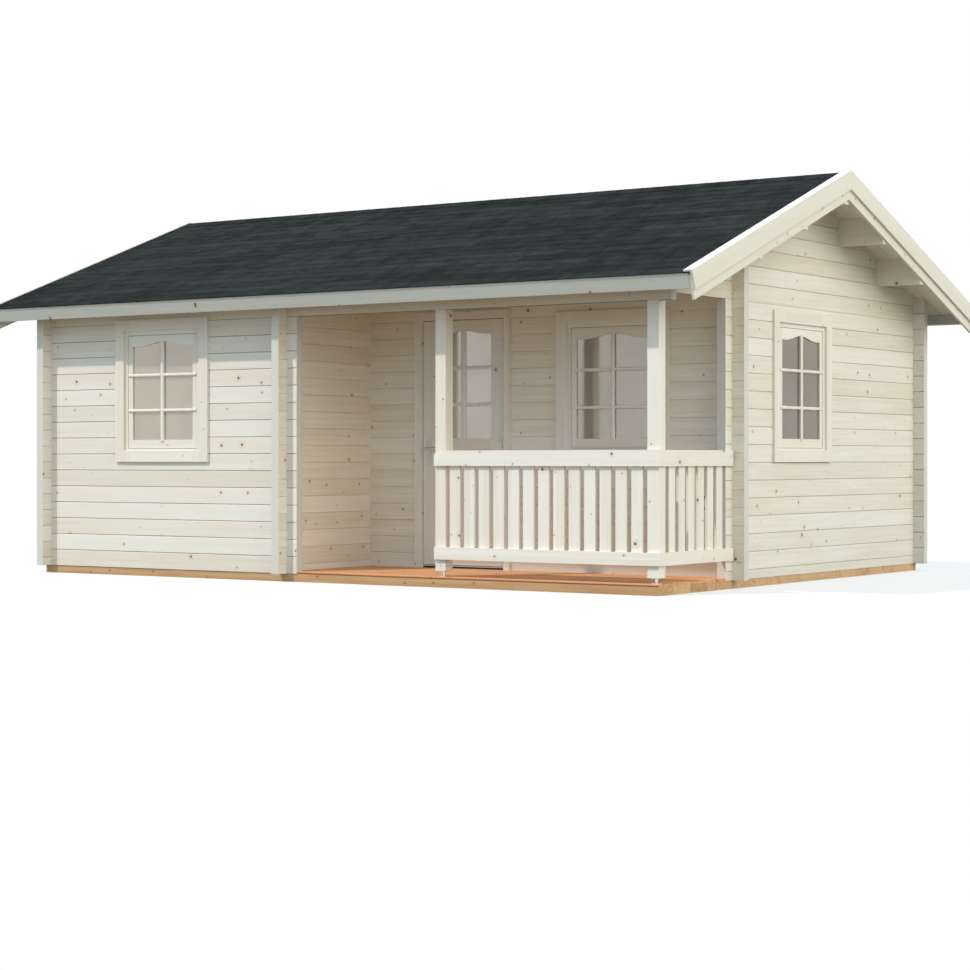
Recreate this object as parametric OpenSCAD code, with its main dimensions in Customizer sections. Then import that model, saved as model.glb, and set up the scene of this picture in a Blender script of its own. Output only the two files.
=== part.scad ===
// Log cabin with a roofed corner porch.
// Notched log walls stand on a timber base and carry a shallow gable roof on purlins.
// The porch has two posts, a railing, a window and a half-glazed door that opens outwards.
// Millimetres. +X runs along the front to the right, +Y to the rear, +Z up.
// The origin lies on the ground under the middle of the walls.

/* [Plan] */
// Width over the outer faces of the two gable walls
cabin_w = 5940; // [5400:10:6600]
// Depth over the outer faces of the front and rear walls
cabin_d = 4420; // [4000:10:5000]
// Width of the left room, from the left wall's outer face to the porch
room_w = 2615; // [2450:5:2750]
// Depth of the porch, from the front wall's face to the door wall's face
porch_d = 1075; // [1000:5:1250]

/* [Logs] */
// Thickness of a wall log
log_t = 70; // [60:1:80]
// Height that each log covers
log_h = 133; // [125:1:140]
// Length of a log's end beyond the crossing wall
log_end = 100; // [70:5:130]
// Chamfer along each edge of a log, which makes the grooves between logs
log_chamfer = 5; // [3:0.5:8]
// Log courses under the porch beam
beam_course = 15; // [15:1:16]
// Log courses in the porch beam
beam_logs = 2; // [2:1:3]
// Amount planed off the top log's outer edge to meet the roof
plate_cut = 28; // [15:1:40]

/* [Base] */
// Height of the base beams
base_h = 62; // [45:1:95]
// Width of the base beams
base_w = 70; // [60:1:95]
// Setback of the base from the walls' outer faces
base_inset = 5; // [0:1:20]
// Number of floor joists between the side beams
joists = 9; // [9:1:12]
// Thickness of the porch deck
deck_t = 20; // [18:1:28]
// Thickness of the cabin floor
floor_t = 26; // [18:1:28]

/* [Roof] */
// Pitch of the roof in degrees
roof_pitch = 20.5; // [17:0.5:24]
// Overhang of the fascia's face beyond the front and rear walls
eave = 290; // [240:5:380]
// Overhang of the bargeboard's face beyond the gable walls
verge = 425; // [350:5:500]
// Thickness of the roof boards
roof_t = 19; // [16:1:24]
// Room for felt strips under the roof boards, the shingles, the ridge and the cap boards
roof_seat = 0.2; // [0.1:0.1:1]
// Thickness of the shingles
shingle_t = 8; // [5:0.5:12]
// Overhang of the shingles past the fascia
shingle_lap = 8; // [4:1:15]
// Width of the ridge shingles down each slope
ridge_w = 150; // [110:5:200]
// Thickness of the ridge shingles
ridge_t = 3; // [2:0.5:5]
// Thickness of the fascia boards
fascia_t = 20; // [16:1:28]
// Height of the fascia boards
fascia_h = 111; // [95:1:130]
// Setback of the verge boards' ends from the fascia's face, along the roof boards' underside
barge_short = 12; // [6:1:20]
// Thickness of each bargeboard
barge_t = 20; // [16:1:28]
// Width of the outer bargeboards
barge_h = 127; // [110:1:145]
// Width of the inner bargeboards
under_h = 172; // [150:1:190]
// Width of the cap boards on the roof's edge
cap_w = 115; // [95:1:130]
// Thickness of the cap boards
cap_t = 12; // [8:1:18]
// Thickness of the purlins
purlin_t = 70; // [60:1:90]
// Height of the purlins at their upper side
purlin_h = 220; // [180:5:240]
// Distance from the ridge to the upper purlins, as a share of half the cabin's depth
upper_share = 0.3015; // [0.28:0.0005:0.33]
// Distance from the ridge to the lower purlins, as a share of half the cabin's depth
lower_share = 0.6295; // [0.6:0.0005:0.66]

/* [Porch] */
// Side of the square posts
post_w = 92; // [80:1:110]
// Distance between the middles of the two posts
post_span = 1812; // [1600:4:1900]
// Height of the steel feet under the posts
foot_h = 43; // [30:1:60]
// Side of the square plates of the feet
foot_plate = 60; // [50:1:80]
// Thickness of the plates of the feet
foot_t = 5; // [4:1:8]
// Diameter of the foot's threaded rod
foot_d = 20; // [16:1:30]
// Height of the railing boards' top edge above the deck
rail_top = 912; // [850:2:1000]
// Height of the railing boards' low edge above the deck
rail_low = 127; // [80:1:160]
// Width of the railing boards
rail_h = 92; // [80:1:110]
// Thickness of the railing boards
rail_t = 20; // [16:1:26]
// Thickness of the handrail on top of the boards
rail_cap = 22; // [16:1:30]
// Width of the balusters
baluster_w = 92; // [80:1:98]
// Thickness of the balusters
baluster_t = 18; // [14:1:24]
// Balusters in the front of the railing
front_balusters = 13; // [11:1:13]
// Balusters in the side of the railing
side_balusters = 6; // [5:1:7]
// Length by which the side railing laps over the log ends
rail_lap = 86; // [60:1:98]

/* [Windows] */
// Width over a window's frame
win_w = 860; // [800:5:900]
// Height over a window's frame
win_h = 1039; // [950:1:1050]
// Height of the frame's low edge above the base
win_sill = 916; // [880:1:930]
// Face width of the frame
win_frame = 57; // [45:1:65]
// Room around the sash in its frame
win_gap = 3; // [2:0.5:4]
// Depth of the sash
sash_t = 44; // [36:1:48]
// Setback of the sash from the wall's face
sash_set = 4; // [2:1:8]
// Lap of the frame's stop over the sash
stop_lap = 14; // [8:1:16]
// Depth of the frame's stop
stop_t = 14; // [10:1:18]
// Width of the sash's stiles
sash_stile = 45; // [40:1:60]
// Height of the sash's bottom rail
sash_foot = 69; // [55:1:80]
// Height of the sash's top rail at its ends
sash_head = 90; // [75:1:100]
// Rise of the arch in the middle of the top rail
sash_rise = 38; // [20:1:45]
// Thickness of the glass
glass_t = 4; // [3:0.5:6]
// Depth of the groove that holds the glass
glass_lap = 10; // [6:1:14]
// Setback of the glass from the sash's face
glass_set = 10; // [8:1:14]
// Width of the trim boards
trim_w = 90; // [75:1:95]
// Thickness of the trim boards
trim_t = 20; // [16:1:24]
// Face of the frame left bare by the side and top trim
trim_reveal = 35; // [25:1:40]
// Face of the frame left bare by the bottom trim
sill_reveal = 16; // [10:1:25]
// Middle of the front window, as a share of the left room's width
front_share = 0.504; // [0.46:0.002:0.54]
// Middle of the porch window, as a share of the porch's width
porch_share = 0.693; // [0.68:0.001:0.71]
// Middle of the gable window, behind the middle of the gable
win_gable_y = 10; // [-60:5:60]

/* [Door] */
// Width of the door leaf
door_w = 770; // [720:5:820]
// Height of the door leaf
door_h = 1945; // [1900:5:1980]
// Thickness of the door leaf
door_t = 44; // [38:1:48]
// Middle of the door leaf, as a share of the porch's width
door_share = 0.2765; // [0.26:0.0005:0.285]
// Gap at the hinges
gap_hinge = 6; // [5:0.5:8]
// Gap at the lock side
gap_lock = 8; // [7:0.5:10]
// Gap above and below the leaf
gap_end = 6; // [5:0.5:9]
// Gap between the closed leaf and the stop behind it
gap_stop = 5; // [5:0.5:7]
// Face width of the door frame
jamb = 40; // [35:1:55]
// Height of the threshold
threshold = 40; // [32:1:50]
// Width of the door's stiles
stile = 115; // [95:1:125]
// Height of the door's bottom rail
kick_rail = 200; // [150:5:240]
// Height of the glass's low edge above the leaf's foot
light_low = 1006; // [960:2:1040]
// Height of the rail under the glass
lock_rail = 90; // [70:1:130]
// Height of the door's top rail at its ends
head_rail = 112; // [100:1:130]
// Rise of the arch in the door's top rail
head_rise = 28; // [15:1:35]
// Width of the upright between the two lower panels
muntin = 80; // [60:1:110]
// Depth of the sunk lower panels in each face
panel_sink = 10; // [6:1:14]
// Border of sunk face around each raised panel
panel_border = 35; // [25:1:45]
// Face width of the door trim
door_trim_w = 55; // [45:1:70]
// Face of the door frame left bare by its trim
door_reveal = 10; // [8:1:14]

/* [Ironwork] */
// Diameter of the hinge barrels
hinge_d = 16; // [14:1:18]
// Height of one hinge barrel
hinge_h = 45; // [35:1:60]
// Diameter of the hinge pins
hinge_pin = 8; // [6:0.5:9]
// Radial room around the hinge pins
hinge_room = 0.1; // [0.05:0.01:0.1]
// Room between the two barrels of a hinge
hinge_gap = 0.5; // [0.3:0.1:1]
// Thickness of the hinge flags
flag_t = 3; // [2:0.5:4]
// Length of the hinge flags on the leaf
flag_l = 40; // [30:1:60]
// Distance from the leaf's ends to the outer hinges
hinge_in = 180; // [150:5:240]
// Height of the handle above the leaf's foot
handle_z = 930; // [900:2:980]
// Distance from the handle to the leaf's lock edge
handle_in = 58; // [50:1:62]
// Width of the handle plate
plate_w = 38; // [30:1:44]
// Height of the handle plate
plate_h = 220; // [160:5:240]
// Thickness of the handle plate
plate_t = 4; // [3:0.5:6]
// Diameter of the handle's lever
lever_d = 18; // [14:1:22]
// Reach of the lever from the plate
lever_out = 48; // [40:1:60]
// Length of the lever
lever_l = 125; // [100:5:150]
// Diameter of the handle's spindle
spindle_d = 10; // [8:0.5:12]

/* [Hidden] */
$fn = 48;
// Small overshoot of cutting tools beyond the faces that they cut
over = 5;
tan_p = tan(roof_pitch);
cos_p = cos(roof_pitch);
sin_p = sin(roof_pitch);
xl = -cabin_w / 2;
xr = cabin_w / 2;
yf = -cabin_d / 2;
yr = cabin_d / 2;
xm = xl + room_w;
yb = yf + porch_d;
porch_w = xr - xm;
foot = base_h;
deck_z = base_h + deck_t;
beam_z = beam_course * log_h;
header_z = beam_z + log_h / 2;
wall_h = (beam_course + beam_logs) * log_h - plate_cut;
ridge_z = foot + wall_h + cabin_d / 2 * tan_p;
top_course = ceil((ridge_z - foot) / log_h) + 1;
purlin_1 = upper_share * cabin_d / 2;
purlin_2 = lower_share * cabin_d / 2;
roof_top = roof_t + 2 * roof_seat + shingle_t;
barge_x = cabin_w / 2 + verge;
under_x = barge_x - barge_t;
purlin_x = under_x - barge_t;
eave_y = cabin_d / 2 + eave;
tail_y = eave_y + shingle_lap;
post_2x = xr - post_w;
post_1x = post_2x - post_span;
gable_front = yb - log_end;
door_l = xm + door_share * porch_w - door_w / 2;
door_z = foot + threshold + gap_end;
jamb_l = door_l - gap_lock;
jamb_r = door_l + door_w + gap_hinge;
head_z = door_z + door_h + gap_end;
hole_l = jamb_l - jamb;
hole_r = jamb_r + jamb;
hole_z = head_z + jamb;
axis_x = door_l + door_w + gap_hinge / 2;
axis_y = yb - hinge_d / 2 - 2;
sash_w = win_w - 2 * win_frame - 2 * win_gap;
sash_h = win_h - 2 * win_frame - 2 * win_gap;
light_w = door_w - 2 * stile;
light_h = door_h - light_low - head_rail;
hinge_zs = [hinge_in, door_h / 2, door_h - hinge_in - hinge_h];

// Height of the roof boards' underside at a distance from the ridge line
function under(y) = ridge_z - abs(y) * tan_p;

// Edge of a stack of logs on one face: a groove at each joint between two heights.
// The joints lie at whole courses above the foot, shifted by a share of a course.
function grooves(side, low, high, shift) = [
    for (k = [0 : top_course]) let (z = (k + shift) * log_h)
        if (z > low + log_chamfer && z < high - log_chamfer)
            for (p = [[0, -log_chamfer], [-log_chamfer, 0], [0, log_chamfer]])
                [side * (log_t / 2 + p[0]), foot + z + p[1]]
];
function backwards(list) = [for (i = [len(list) - 1 : -1 : 0]) list[i]];

// Section through a stack of logs, with its own height on each face
module log_section(low, high_a, high_b, shift) {
    polygon(concat([[-log_t / 2, foot + low]], grooves(-1, low, high_a, shift),
        [[-log_t / 2, foot + high_a], [log_t / 2, foot + high_b]],
        backwards(grooves(1, low, high_b, shift)), [[log_t / 2, foot + low]]));
}

// Wall of logs along X, from x0 to x1, with its front face at y0
module x_logs(x0, x1, y0, low, high_a, high_b) {
    translate([x0, y0 + log_t / 2, 0]) rotate([90, 0, 90])
        linear_extrude(height = x1 - x0) log_section(low, high_a, high_b, 0);
}

// Wall of logs along Y, from y0 to y1, with its left face at x0.
// Its courses lie half a log higher than those of the walls along X.
module y_logs(x0, y0, y1, low, high) {
    translate([x0 + log_t / 2, y1, 0]) rotate([90, 0, 0])
        linear_extrude(height = y1 - y0) log_section(low, high, high, 0.5);
}

// Notches where two walls cross: each log keeps the middle half of its height there.
// A wall along X is notched at its joints (shift 0), one along Y half a course higher.
module notches(x0, y0, first, last, shift) {
    for (k = [first : last])
        translate([x0, y0, foot + (k + shift - 0.25) * log_h]) cube([log_t, log_t, log_h / 2]);
}

// Space under the roof boards
module under_roof() {
    translate([-barge_x, 0, 0]) rotate([90, 0, 90]) linear_extrude(height = 2 * barge_x)
        polygon([[-tail_y, 0], [tail_y, 0], [tail_y, under(tail_y)], [0, ridge_z],
            [-tail_y, under(tail_y)]]);
}

// Part of a slope between two heights square to the roof boards' underside.
// It runs from y0 to y1 on the rear slope, with plumb ends.
module slope(x0, x1, y0, y1, low, high) {
    translate([x0, 0, 0]) rotate([90, 0, 90]) linear_extrude(height = x1 - x0)
        polygon([[y0, under(y0) + low / cos_p], [y1, under(y1) + low / cos_p],
            [y1, under(y1) + high / cos_p], [y0, under(y0) + high / cos_p]]);
}
// Board down the rear slope between two such heights, plumb at the ridge and square at its foot
module verge_board(x0, x1, low, high) {
    y1 = eave_y - barge_short;
    translate([x0, 0, 0]) rotate([90, 0, 90]) linear_extrude(height = x1 - x0)
        polygon([[0, ridge_z + low / cos_p], [y1 + low * sin_p, under(y1) + low * cos_p],
            [y1 + high * sin_p, under(y1) + high * cos_p], [0, ridge_z + high / cos_p]]);
}
module both_ends() {
    children();
    mirror([1, 0, 0]) children();
}
module front_slope() { mirror([0, 1, 0]) children(); }

// Purlin on the rear slope whose upper side lies at a distance from the ridge
module purlin(y) {
    translate([-purlin_x, 0, 0]) rotate([90, 0, 90]) linear_extrude(height = 2 * purlin_x)
        polygon([[y, under(y) - purlin_h], [y + purlin_t, under(y) - purlin_h],
            [y + purlin_t, under(y + purlin_t)], [y, under(y)]]);
}
module ridge_purlin() {
    translate([-purlin_x, 0, 0]) rotate([90, 0, 90]) linear_extrude(height = 2 * purlin_x)
        polygon([[-purlin_t / 2, ridge_z - purlin_h], [purlin_t / 2, ridge_z - purlin_h],
            [purlin_t / 2, under(purlin_t / 2)], [0, ridge_z], [-purlin_t / 2, under(purlin_t / 2)]]);
}
module purlins() {
    color("burlywood") {
        ridge_purlin();
        for (y = [purlin_1, purlin_2]) {
            purlin(y);
            front_slope() purlin(y);
        }
    }
}

// Seats of the purlins in the log walls, open at the top
module purlin_seat(y, low) {
    translate([-barge_x, y, low]) cube([2 * barge_x, purlin_t, purlin_h + log_h]);
}
module purlin_seats() {
    purlin_seat(-purlin_t / 2, ridge_z - purlin_h);
    for (y = [purlin_1, purlin_2]) {
        purlin_seat(y, under(y) - purlin_h);
        front_slope() purlin_seat(y, under(y) - purlin_h);
    }
}

// Base and floors

module base_box(x0, x1, y0, y1) {
    translate([x0, y0, 0]) cube([x1 - x0, y1 - y0, base_h]);
}
module base_frame() {
    a = xl + base_inset;
    b = xr - base_inset;
    c = yf + base_inset;
    d = yr - base_inset;
    step = (b - a - base_w) / (joists + 1);
    color("peru") union() {
        base_box(a, b, c, c + base_w);
        base_box(a, b, d - base_w, d);
        base_box(a, b, yb, yb + base_w);
        base_box(xm - base_w, xm, c, yb + base_w);
        for (i = [0 : joists + 1]) base_box(a + i * step, a + i * step + base_w, c, d);
    }
}
// Room that a log end takes in a floor
module log_end_hole(x0, y0, w, d) {
    translate([x0, y0, base_h - over]) cube([w, d, deck_t + floor_t + 2 * over]);
}
module porch_deck() {
    color("sienna") difference() {
        translate([xm, yf + base_inset, base_h])
            cube([xr - base_inset - xm, yb - yf - base_inset, deck_t]);
        log_end_hole(xm - over, yf - over, log_end + over, log_t + over);
        log_end_hole(xr - log_t, gable_front, log_t + over, log_end + over);
    }
}
module room_floor() {
    color("tan") difference() {
        translate([xl + log_t, yf + log_t, base_h])
            cube([room_w - 2 * log_t, cabin_d - 2 * log_t, floor_t]);
        log_end_hole(xm - log_t - log_end, yb, log_end + over, log_t);
    }
}
module main_floor() {
    y0 = yb + log_t + log_end;
    color("tan") union() {
        translate([xm - log_t, y0, base_h]) cube([xr - xm, yr - log_t - y0, floor_t]);
        translate([xm, yb + log_t, base_h]) cube([xr - log_t - xm, log_end, floor_t]);
    }
}

// Log walls

// Turns the children from the wall's own axes to one of the three windows.
// In a wall's axes X runs along the wall, Y inwards from its face and Z up from its foot.
module at_window(i) {
    if (i == 0) translate([xl + front_share * room_w, yf, foot]) children();
    if (i == 1) translate([xm + porch_share * porch_w, yb, foot]) children();
    if (i == 2) translate([xr, win_gable_y, foot]) rotate([0, 0, 90]) children();
}
module window_hole(i) {
    at_window(i) translate([-win_w / 2, -over, win_sill]) cube([win_w, log_t + 2 * over, win_h]);
}
module front_wall() {
    color("wheat") difference() {
        x_logs(xl - log_end, xm + log_end, yf, 0, beam_z, beam_z);
        notches(xl, yf, 0, beam_course, 0);
        notches(xm - log_t, yf, 0, beam_course, 0);
        window_hole(0);
    }
}
module porch_beam() {
    color("wheat") difference() {
        x_logs(xl - log_end, xr + log_end, yf, beam_z, under(yf) - foot, under(yf + log_t) - foot);
        notches(xl, yf, beam_course, beam_course + beam_logs, 0);
        notches(xm - log_t, yf, beam_course, beam_course + beam_logs, 0);
        notches(xr - log_t, yf, beam_course + 1, beam_course + beam_logs, 0);
        window_hole(0);
    }
}
module rear_wall() {
    color("wheat") difference() {
        x_logs(xl - log_end, xr + log_end, yr - log_t, 0, under(yr - log_t) - foot, under(yr) - foot);
        notches(xl, yr - log_t, 0, beam_course + beam_logs, 0);
        notches(xr - log_t, yr - log_t, 0, beam_course + beam_logs, 0);
    }
}
module door_wall(x0, x1, low, high_a, high_b) {
    difference() {
        x_logs(x0, x1, yb, low, high_a, high_b);
        notches(xm - log_t, yb, 0, top_course, 0);
        notches(xr - log_t, yb, 0, top_course, 0);
        purlin_seats();
        window_hole(1);
    }
}
module door_wall_left() {
    color("wheat") door_wall(xm - log_t - log_end, hole_l, 0, hole_z - foot, hole_z - foot);
}
module door_wall_right() {
    color("wheat") door_wall(hole_r, xr + log_end, 0, hole_z - foot, hole_z - foot);
}
module door_wall_top() {
    color("wheat") door_wall(xm - log_t - log_end, xr + log_end, hole_z - foot,
        under(yb) - foot, under(yb + log_t) - foot);
}
module left_wall() {
    color("wheat") difference() {
        intersection() {
            y_logs(xl, yf - log_end, yr + log_end, 0, ridge_z + log_h - foot);
            under_roof();
        }
        notches(xl, yf, 0, top_course, 0.5);
        notches(xl, yr - log_t, 0, top_course, 0.5);
        purlin_seats();
    }
}
module right_wall() {
    color("wheat") difference() {
        y_logs(xr - log_t, gable_front, yr + log_end, 0, header_z);
        notches(xr - log_t, yb, 0, beam_course, 0.5);
        notches(xr - log_t, yr - log_t, 0, beam_course, 0.5);
        window_hole(2);
    }
}
module right_gable() {
    color("wheat") difference() {
        intersection() {
            y_logs(xr - log_t, yf - log_end, yr + log_end, header_z, ridge_z + log_h - foot);
            under_roof();
        }
        notches(xr - log_t, yf, beam_course, top_course, 0.5);
        notches(xr - log_t, yb, beam_course, top_course, 0.5);
        notches(xr - log_t, yr - log_t, beam_course, top_course, 0.5);
        purlin_seats();
        window_hole(2);
    }
}
module porch_side_wall() {
    color("wheat") difference() {
        intersection() {
            y_logs(xm - log_t, yf - log_end, yb + log_t + log_end, 0, under(yb + log_t + log_end) - foot);
            under_roof();
        }
        notches(xm - log_t, yf, 0, top_course, 0.5);
        notches(xm - log_t, yb, 0, top_course, 0.5);
        purlin_seats();
    }
}

// Porch posts and railing

module porch_posts() {
    color("wheat") for (x = [post_1x, post_2x])
        translate([x, yf, deck_z + foot_h]) cube([post_w, post_w, foot + beam_z - deck_z - foot_h]);
}
module post_feet() {
    color("silver") for (x = [post_1x, post_2x]) translate([x + post_w / 2, yf + post_w / 2, deck_z]) {
        for (z = [0, foot_h - foot_t]) translate([-foot_plate / 2, -foot_plate / 2, z])
            cube([foot_plate, foot_plate, foot_t]);
        cylinder(d = foot_d, h = foot_h);
    }
}
module rail_boards(x0, x1, y) {
    for (z = [rail_low, rail_top - rail_h])
        translate([x0, y, deck_z + z]) cube([x1 - x0, rail_t, rail_h]);
}
// Railing between x0 and x1 in its own axes, with the boards' back faces at Y 0.
// The outer boards run on to o0 and o1, and the handrail's outer half starts at h0.
module railing(x0, x1, o0, o1, h0, count) {
    gap = (x1 - x0 - count * baluster_w) / (count + 1);
    rail_boards(o0, o1, -rail_t);
    rail_boards(x0, x1, baluster_t);
    for (i = [0 : count - 1])
        translate([x0 + gap + i * (baluster_w + gap), 0, deck_z + rail_low])
            cube([baluster_w, baluster_t, rail_top - rail_low]);
    translate([h0, -rail_t, deck_z + rail_top]) cube([o1 - h0, rail_t, rail_cap]);
    translate([x0, 0, deck_z + rail_top]) cube([x1 - x0, baluster_t + rail_t, rail_cap]);
}
module front_railing() {
    color("wheat") translate([0, yf, 0])
        railing(post_1x + post_w, post_2x, post_1x, xr + rail_t, post_1x + post_w, front_balusters);
}
module side_railing() {
    color("wheat") translate([xr, 0, 0]) rotate([0, 0, 90])
        railing(yf + post_w, gable_front, yf, gable_front + rail_lap, yf, side_balusters);
}

// Roof

module roof_boards_rear() {
    color("burlywood") slope(-under_x, under_x, 0, eave_y - fascia_t, roof_seat, roof_seat + roof_t);
}
module roof_boards_front() { front_slope() roof_boards_rear(); }
module shingles_rear() {
    color("darkslategray") slope(-under_x, under_x, 0, tail_y, roof_t + 2 * roof_seat, roof_top);
}
module shingles_front() { front_slope() shingles_rear(); }
module ridge_shingles() {
    w = ridge_w * cos_p;
    low = (roof_top + roof_seat) / cos_p;
    high = low + ridge_t / cos_p;
    l = 2 * (barge_x - cap_w);
    color("darkslategray") translate([-l / 2, 0, 0]) rotate([90, 0, 90]) linear_extrude(height = l)
        polygon([[0, ridge_z + low], [w, under(w) + low], [w, under(w) + high],
            [0, ridge_z + high], [-w, under(w) + high], [-w, under(w) + low]]);
}
module fascia() {
    y0 = eave_y - fascia_t;
    t = roof_t / cos_p;
    translate([-purlin_x, 0, 0]) rotate([90, 0, 90]) linear_extrude(height = 2 * purlin_x)
        polygon([[y0, under(y0) + t - fascia_h], [eave_y, under(y0) + t - fascia_h],
            [eave_y, under(eave_y) + t], [y0, under(y0) + t]]);
}
module fascia_boards() {
    color("wheat") {
        fascia();
        front_slope() fascia();
    }
}
module barge_boards_rear() {
    color("wheat") both_ends() verge_board(under_x, barge_x, roof_top - barge_h, roof_top);
}
module barge_boards_front() { front_slope() barge_boards_rear(); }
module under_barges_rear() {
    color("wheat") both_ends() verge_board(purlin_x, under_x, -under_h, 0);
}
module under_barges_front() { front_slope() under_barges_rear(); }
module verge_caps_rear() {
    low = roof_top + roof_seat;
    color("ivory") both_ends() verge_board(barge_x - cap_w, barge_x, low, low + cap_t);
}
module verge_caps_front() { front_slope() verge_caps_rear(); }

// Windows

// Outline of glass under an arched rail: level ends rise in a wave to the middle
module arched(w, h, rise) {
    n = 24;
    polygon(concat([[w / 2, 0]], [for (i = [0 : n]) let (u = 1 - 2 * i / n)
        [u * w / 2, h + rise * (1 + cos(180 * min(1, abs(u) / 0.8))) / 2]], [[-w / 2, 0]]));
}
// Plate of an outline in the XZ plane, from depth y0 to y1
module upright(y0, y1) {
    translate([0, y1, 0]) rotate([90, 0, 0]) linear_extrude(height = y1 - y0) children();
}
module ring(w, h, side, low, high, y0, y1) {
    difference() {
        translate([-w / 2, y0, 0]) cube([w, y1 - y0, h]);
        translate([-w / 2 + side, y0 - over, low]) cube([w - 2 * side, y1 - y0 + 2 * over, h - low - high]);
    }
}
module window_frame() {
    s = win_frame + stop_lap;
    y0 = sash_set + sash_t;
    translate([0, 0, win_sill]) {
        ring(win_w, win_h, win_frame, win_frame, win_frame, 0, log_t);
        ring(win_w, win_h, s, s, s, y0, y0 + stop_t);
    }
}
module glass_plate(w, h, rise, lap, y0) {
    translate([-w / 2 - lap, y0, -lap]) cube([w + 2 * lap, glass_t, h + rise + 2 * lap]);
}
module at_sash() {
    translate([0, sash_set, win_sill + win_frame + win_gap]) children();
}
module window_pane() {
    translate([0, 0, sash_foot])
        glass_plate(sash_w - 2 * sash_stile, sash_h - sash_foot - sash_head, sash_rise, glass_lap, glass_set);
}
module window_sash() {
    w = sash_w - 2 * sash_stile;
    difference() {
        translate([-sash_w / 2, 0, 0]) cube([sash_w, sash_t, sash_h]);
        translate([0, 0, sash_foot]) upright(-over, sash_t + over)
            arched(w, sash_h - sash_foot - sash_head, sash_rise);
        window_pane();
    }
}
module window_trim() {
    r = win_frame - trim_reveal;
    b = win_frame - sill_reveal;
    translate([0, 0, win_sill + b - trim_w])
        ring(win_w - 2 * r + 2 * trim_w, win_h - r - b + 2 * trim_w, trim_w, trim_w, trim_w, -trim_t, 0);
}
module window_frames() { color("wheat") for (i = [0 : 2]) at_window(i) window_frame(); }
module window_sashes() { color("white") for (i = [0 : 2]) at_window(i) at_sash() window_sash(); }
module window_glass() { color("lightblue") for (i = [0 : 2]) at_window(i) at_sash() window_pane(); }
module window_trims() { color("wheat") for (i = [0 : 2]) at_window(i) window_trim(); }

// Door

module door_frame() {
    y0 = yb + door_t + gap_stop;
    lap = gap_hinge + stop_lap - 2;
    color("wheat") union() {
        difference() {
            translate([hole_l, yb, foot]) cube([hole_r - hole_l, log_t, hole_z - foot]);
            translate([jamb_l, yb - over, foot + threshold])
                cube([jamb_r - jamb_l, log_t + 2 * over, head_z - foot - threshold]);
        }
        difference() {
            translate([jamb_l, y0, foot + threshold])
                cube([jamb_r - jamb_l, stop_t, head_z - foot - threshold]);
            translate([jamb_l + lap, y0 - over, foot + threshold])
                cube([jamb_r - jamb_l - 2 * lap, stop_t + 2 * over, head_z - foot - threshold - lap]);
        }
    }
}
module door_trim() {
    a = jamb_l - door_reveal;
    b = jamb_r + door_reveal;
    c = head_z + door_reveal;
    color("wheat") difference() {
        translate([a - door_trim_w, yb - trim_t, deck_z])
            cube([b - a + 2 * door_trim_w, trim_t, c + door_trim_w - deck_z]);
        translate([a, yb - trim_t - over, deck_z - over]) cube([b - a, trim_t + 2 * over, c - deck_z + over]);
    }
}
module at_leaf() { translate([door_l, yb, door_z]) children(); }
module door_pane() {
    translate([door_w / 2, 0, light_low])
        glass_plate(light_w, light_h, head_rise, glass_lap, glass_set + glass_t);
}
// Two raised panels below the glass, sunk into one face of the leaf
module sunk_panels() {
    w = (door_w - 2 * stile - muntin) / 2;
    h = light_low - lock_rail - kick_rail;
    for (x = [stile, door_w - stile - w]) translate([x, 0, kick_rail]) difference() {
        translate([0, -over, 0]) cube([w, panel_sink + over, h]);
        translate([panel_border, panel_sink / 2, panel_border])
            cube([w - 2 * panel_border, panel_sink, h - 2 * panel_border]);
    }
}
module door_leaf() {
    color("wheat") at_leaf() difference() {
        cube([door_w, door_t, door_h]);
        translate([door_w / 2, 0, light_low]) upright(-over, door_t + over)
            arched(light_w, light_h, head_rise);
        door_pane();
        sunk_panels();
        translate([0, door_t, 0]) mirror([0, 1, 0]) sunk_panels();
        translate([handle_in, -over, handle_z]) rotate([-90, 0, 0])
            cylinder(d = spindle_d, h = door_t + 2 * over);
    }
}
module door_glass() { color("lightblue") at_leaf() door_pane(); }
// Lever handle: a plate and a lever on each face, joined by the spindle
module door_handle() {
    color("silver") at_leaf() translate([handle_in, 0, handle_z]) {
        rotate([-90, 0, 0]) cylinder(d = spindle_d, h = door_t);
        half_handle();
        translate([0, door_t, 0]) mirror([0, 1, 0]) half_handle();
    }
}
module half_handle() {
    translate([-plate_w / 2, -plate_t, -plate_h * 0.6]) cube([plate_w, plate_t, plate_h]);
    rotate([90, 0, 0]) cylinder(d = lever_d, h = plate_t + lever_out);
    translate([0, -plate_t - lever_out, 0]) rotate([0, 90, 0]) cylinder(d = lever_d, h = lever_l);
    translate([0, -plate_t - lever_out, 0]) sphere(d = lever_d);
}
// Barrel hinges: the leaf's barrel turns on a pin that stands in the frame's barrel
module at_hinges() {
    for (z = hinge_zs) translate([axis_x, axis_y, door_z + z]) mirror([1, 0, 0]) children();
}
module door_hinges() {
    color("silver") at_hinges() translate([0, 0, hinge_gap]) difference() {
        union() {
            cylinder(d = hinge_d, h = hinge_h);
            translate([0, yb - axis_y - flag_t, 0]) cube([gap_hinge / 2 + flag_l, flag_t, hinge_h]);
        }
        translate([0, 0, -over]) cylinder(d = hinge_pin + 2 * hinge_room, h = hinge_h + 2 * over);
    }
}
module hinge_pins() {
    color("silver") at_hinges() {
        translate([0, 0, -hinge_h]) cylinder(d = hinge_d, h = hinge_h);
        cylinder(d = hinge_pin, h = hinge_h);
        translate([-gap_hinge / 2 - door_reveal + 1, 0, -hinge_h])
            cube([door_reveal - 1 - 1, yb - axis_y, hinge_h]);
        translate([-gap_hinge / 2 - door_reveal + 1, 0, -hinge_h])
            cube([gap_hinge / 2 + door_reveal - 1, flag_t, hinge_h]);
    }
}

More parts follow.
